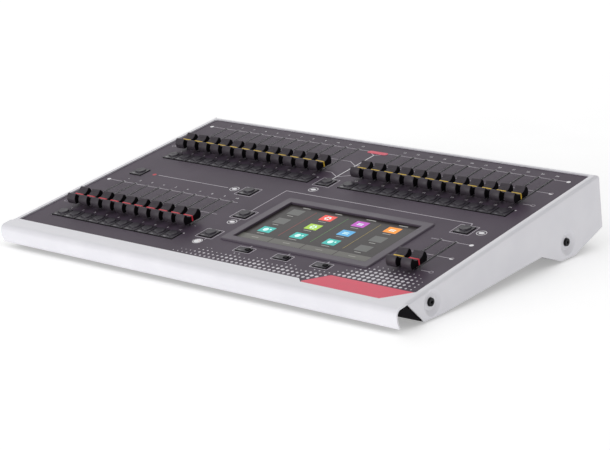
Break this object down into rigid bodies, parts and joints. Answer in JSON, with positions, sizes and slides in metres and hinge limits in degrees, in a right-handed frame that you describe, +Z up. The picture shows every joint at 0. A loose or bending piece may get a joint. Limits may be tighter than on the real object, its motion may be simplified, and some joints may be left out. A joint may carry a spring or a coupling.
{
  "type": "lighting control desk",
  "caption": "Wedge-shaped stage lighting control desk with banks of sliding faders, flash keys and a touch screen on its sloping top.",
  "frame": {"origin": "middle of the footprint, on the surface that the rubber feet stand on", "axes": "+X to the operator's right, +Y to the rear, +Z up"},
  "size_m": [0.475, 0.3186, 0.0712],
  "materials": {
    "silver_paint": "satin pearl powder coat",
    "black_paint": "matt powder coat",
    "printed_overlay": "fine-textured polycarbonate, printed",
    "red_overlay": "fine-textured polycarbonate, plain",
    "bezel_grey": "satin",
    "screen_glass": "satin anti-glare",
    "display_black": "moulded frame",
    "black_screw": "black oxide",
    "foot_rubber": "matt",
    "track_steel": "zinc plated",
    "circuit_green": "solder mask",
    "supply_case": "mill",
    "switch_black": "moulded",
    "connector_black": "moulded",
    "connector_shell": "nickel plated",
    "rocker_black": "polished",
    "key_plastic": "satin moulded",
    "fader_cap": "satin moulded"
  },
  "bodies": {
    "desk": {"top_cover": "silver_paint", "base_pan": "black_paint", "control_panel": "printed_overlay", "red_inlays": "red_overlay", "screen_bezel": "bezel_grey", "touch_glass": "screen_glass", "display_module": "display_black", "side_screws": "black_screw", "rubber_feet": "foot_rubber", "fader_tracks": "track_steel", "upper_board": "circuit_green", "lower_board": "circuit_green", "processor_board": "circuit_green", "power_supply": "supply_case", "key_switches": "switch_black", "mains_inlet": "connector_black", "data_outlets": "connector_shell", "rear_ports": "connector_shell"},
    "power_rocker": {"power_rocker": "rocker_black"},
    "flash_keys_left": {"flash_keys_left": "key_plastic"},
    "flash_keys_right": {"flash_keys_right": "key_plastic"},
    "playback_keys": {"playback_keys": "key_plastic"},
    "function_keys": {"function_keys": "key_plastic"},
    "soft_keys": {"soft_keys": "key_plastic"},
    "channel_fader_01": {"channel_fader_01": "fader_cap"},
    "channel_fader_02": {"channel_fader_02": "fader_cap"},
    "channel_fader_03": {"channel_fader_03": "fader_cap"},
    "channel_fader_04": {"channel_fader_04": "fader_cap"},
    "channel_fader_05": {"channel_fader_05": "fader_cap"},
    "channel_fader_06": {"channel_fader_06": "fader_cap"},
    "channel_fader_07": {"channel_fader_07": "fader_cap"},
    "channel_fader_08": {"channel_fader_08": "fader_cap"},
    "channel_fader_09": {"channel_fader_09": "fader_cap"},
    "channel_fader_10": {"channel_fader_10": "fader_cap"},
    "channel_fader_11": {"channel_fader_11": "fader_cap"},
    "channel_fader_12": {"channel_fader_12": "fader_cap"},
    "channel_fader_13": {"channel_fader_13": "fader_cap"},
    "channel_fader_14": {"channel_fader_14": "fader_cap"},
    "channel_fader_15": {"channel_fader_15": "fader_cap"},
    "channel_fader_16": {"channel_fader_16": "fader_cap"},
    "channel_fader_17": {"channel_fader_17": "fader_cap"},
    "channel_fader_18": {"channel_fader_18": "fader_cap"},
    "channel_fader_19": {"channel_fader_19": "fader_cap"},
    "channel_fader_20": {"channel_fader_20": "fader_cap"},
    "channel_fader_21": {"channel_fader_21": "fader_cap"},
    "channel_fader_22": {"channel_fader_22": "fader_cap"},
    "channel_fader_23": {"channel_fader_23": "fader_cap"},
    "channel_fader_24": {"channel_fader_24": "fader_cap"},
    "playback_fader_01": {"playback_fader_01": "fader_cap"},
    "playback_fader_02": {"playback_fader_02": "fader_cap"},
    "playback_fader_03": {"playback_fader_03": "fader_cap"},
    "playback_fader_04": {"playback_fader_04": "fader_cap"},
    "playback_fader_05": {"playback_fader_05": "fader_cap"},
    "playback_fader_06": {"playback_fader_06": "fader_cap"},
    "playback_fader_07": {"playback_fader_07": "fader_cap"},
    "playback_fader_08": {"playback_fader_08": "fader_cap"},
    "playback_fader_09": {"playback_fader_09": "fader_cap"},
    "playback_fader_10": {"playback_fader_10": "fader_cap"},
    "master_fader_1": {"master_fader_1": "fader_cap"},
    "master_fader_2": {"master_fader_2": "fader_cap"}
  },
  "joints": [
    {"name": "power_switch", "type": "hinge", "parent": "desk", "child": "power_rocker", "pos_m": [0.1645, 0.14973, 0.04148], "axis": [-1, 0, 0], "range_deg": [0, 16]},
    {"name": "flash_keys_left_press", "type": "slide", "parent": "desk", "child": "flash_keys_left", "axis": [0, 0.1513, -0.9885], "range_m": [0, 0.001], "stiffness_N_per_m": 800, "springref_m": -0.0005},
    {"name": "flash_keys_right_press", "type": "slide", "parent": "desk", "child": "flash_keys_right", "axis": [0, 0.1513, -0.9885], "range_m": [0, 0.001], "stiffness_N_per_m": 800, "springref_m": -0.0005},
    {"name": "playback_keys_press", "type": "slide", "parent": "desk", "child": "playback_keys", "axis": [0, 0.1513, -0.9885], "range_m": [0, 0.001], "stiffness_N_per_m": 800, "springref_m": -0.0005},
    {"name": "function_keys_press", "type": "slide", "parent": "desk", "child": "function_keys", "axis": [0, 0.1513, -0.9885], "range_m": [0, 0.001], "stiffness_N_per_m": 800, "springref_m": -0.0005},
    {"name": "soft_keys_press", "type": "slide", "parent": "desk", "child": "soft_keys", "axis": [0, 0.1513, -0.9885], "range_m": [0, 0.001], "stiffness_N_per_m": 800, "springref_m": -0.0005},
    {"name": "channel_fader_01_slide", "type": "slide", "parent": "desk", "child": "channel_fader_01", "axis": [0, 0.9885, 0.1513], "range_m": [0, 0.06]},
    {"name": "channel_fader_02_slide", "type": "slide", "parent": "desk", "child": "channel_fader_02", "axis": [0, 0.9885, 0.1513], "range_m": [0, 0.06]},
    {"name": "channel_fader_03_slide", "type": "slide", "parent": "desk", "child": "channel_fader_03", "axis": [0, 0.9885, 0.1513], "range_m": [0, 0.06]},
    {"name": "channel_fader_04_slide", "type": "slide", "parent": "desk", "child": "channel_fader_04", "axis": [0, 0.9885, 0.1513], "range_m": [0, 0.06]},
    {"name": "channel_fader_05_slide", "type": "slide", "parent": "desk", "child": "channel_fader_05", "axis": [0, 0.9885, 0.1513], "range_m": [0, 0.06]},
    {"name": "channel_fader_06_slide", "type": "slide", "parent": "desk", "child": "channel_fader_06", "axis": [0, 0.9885, 0.1513], "range_m": [0, 0.06]},
    {"name": "channel_fader_07_slide", "type": "slide", "parent": "desk", "child": "channel_fader_07", "axis": [0, 0.9885, 0.1513], "range_m": [0, 0.06]},
    {"name": "channel_fader_08_slide", "type": "slide", "parent": "desk", "child": "channel_fader_08", "axis": [0, 0.9885, 0.1513], "range_m": [0, 0.06]},
    {"name": "channel_fader_09_slide", "type": "slide", "parent": "desk", "child": "channel_fader_09", "axis": [0, 0.9885, 0.1513], "range_m": [0, 0.06]},
    {"name": "channel_fader_10_slide", "type": "slide", "parent": "desk", "child": "channel_fader_10", "axis": [0, 0.9885, 0.1513], "range_m": [0, 0.06]},
    {"name": "channel_fader_11_slide", "type": "slide", "parent": "desk", "child": "channel_fader_11", "axis": [0, 0.9885, 0.1513], "range_m": [0, 0.06]},
    {"name": "channel_fader_12_slide", "type": "slide", "parent": "desk", "child": "channel_fader_12", "axis": [0, 0.9885, 0.1513], "range_m": [0, 0.06]},
    {"name": "channel_fader_13_slide", "type": "slide", "parent": "desk", "child": "channel_fader_13", "axis": [0, 0.9885, 0.1513], "range_m": [0, 0.06]},
    {"name": "channel_fader_14_slide", "type": "slide", "parent": "desk", "child": "channel_fader_14", "axis": [0, 0.9885, 0.1513], "range_m": [0, 0.06]},
    {"name": "channel_fader_15_slide", "type": "slide", "parent": "desk", "child": "channel_fader_15", "axis": [0, 0.9885, 0.1513], "range_m": [0, 0.06]},
    {"name": "channel_fader_16_slide", "type": "slide", "parent": "desk", "child": "channel_fader_16", "axis": [0, 0.9885, 0.1513], "range_m": [0, 0.06]},
    {"name": "channel_fader_17_slide", "type": "slide", "parent": "desk", "child": "channel_fader_17", "axis": [0, 0.9885, 0.1513], "range_m": [0, 0.06]},
    {"name": "channel_fader_18_slide", "type": "slide", "parent": "desk", "child": "channel_fader_18", "axis": [0, 0.9885, 0.1513], "range_m": [0, 0.06]},
    {"name": "channel_fader_19_slide", "type": "slide", "parent": "desk", "child": "channel_fader_19", "axis": [0, 0.9885, 0.1513], "range_m": [0, 0.06]},
    {"name": "channel_fader_20_slide", "type": "slide", "parent": "desk", "child": "channel_fader_20", "axis": [0, 0.9885, 0.1513], "range_m": [0, 0.06]},
    {"name": "channel_fader_21_slide", "type": "slide", "parent": "desk", "child": "channel_fader_21", "axis": [0, 0.9885, 0.1513], "range_m": [0, 0.06]},
    {"name": "channel_fader_22_slide", "type": "slide", "parent": "desk", "child": "channel_fader_22", "axis": [0, 0.9885, 0.1513], "range_m": [0, 0.06]},
    {"name": "channel_fader_23_slide", "type": "slide", "parent": "desk", "child": "channel_fader_23", "axis": [0, 0.9885, 0.1513], "range_m": [0, 0.06]},
    {"name": "channel_fader_24_slide", "type": "slide", "parent": "desk", "child": "channel_fader_24", "axis": [0, 0.9885, 0.1513], "range_m": [0, 0.06]},
    {"name": "playback_fader_01_slide", "type": "slide", "parent": "desk", "child": "playback_fader_01", "axis": [0, 0.9885, 0.1513], "range_m": [0, 0.06]},
    {"name": "playback_fader_02_slide", "type": "slide", "parent": "desk", "child": "playback_fader_02", "axis": [0, 0.9885, 0.1513], "range_m": [0, 0.06]},
    {"name": "playback_fader_03_slide", "type": "slide", "parent": "desk", "child": "playback_fader_03", "axis": [0, 0.9885, 0.1513], "range_m": [0, 0.06]},
    {"name": "playback_fader_04_slide", "type": "slide", "parent": "desk", "child": "playback_fader_04", "axis": [0, 0.9885, 0.1513], "range_m": [0, 0.06]},
    {"name": "playback_fader_05_slide", "type": "slide", "parent": "desk", "child": "playback_fader_05", "axis": [0, 0.9885, 0.1513], "range_m": [0, 0.06]},
    {"name": "playback_fader_06_slide", "type": "slide", "parent": "desk", "child": "playback_fader_06", "axis": [0, 0.9885, 0.1513], "range_m": [0, 0.06]},
    {"name": "playback_fader_07_slide", "type": "slide", "parent": "desk", "child": "playback_fader_07", "axis": [0, 0.9885, 0.1513], "range_m": [0, 0.06]},
    {"name": "playback_fader_08_slide", "type": "slide", "parent": "desk", "child": "playback_fader_08", "axis": [0, 0.9885, 0.1513], "range_m": [0, 0.06]},
    {"name": "playback_fader_09_slide", "type": "slide", "parent": "desk", "child": "playback_fader_09", "axis": [0, 0.9885, 0.1513], "range_m": [0, 0.06]},
    {"name": "playback_fader_10_slide", "type": "slide", "parent": "desk", "child": "playback_fader_10", "axis": [0, 0.9885, 0.1513], "range_m": [0, 0.06]},
    {"name": "master_fader_1_slide", "type": "slide", "parent": "desk", "child": "master_fader_1", "axis": [0, 0.9885, 0.1513], "range_m": [0, 0.06]},
    {"name": "master_fader_2_slide", "type": "slide", "parent": "desk", "child": "master_fader_2", "axis": [0, 0.9885, 0.1513], "range_m": [0, 0.06]}
  ]
}
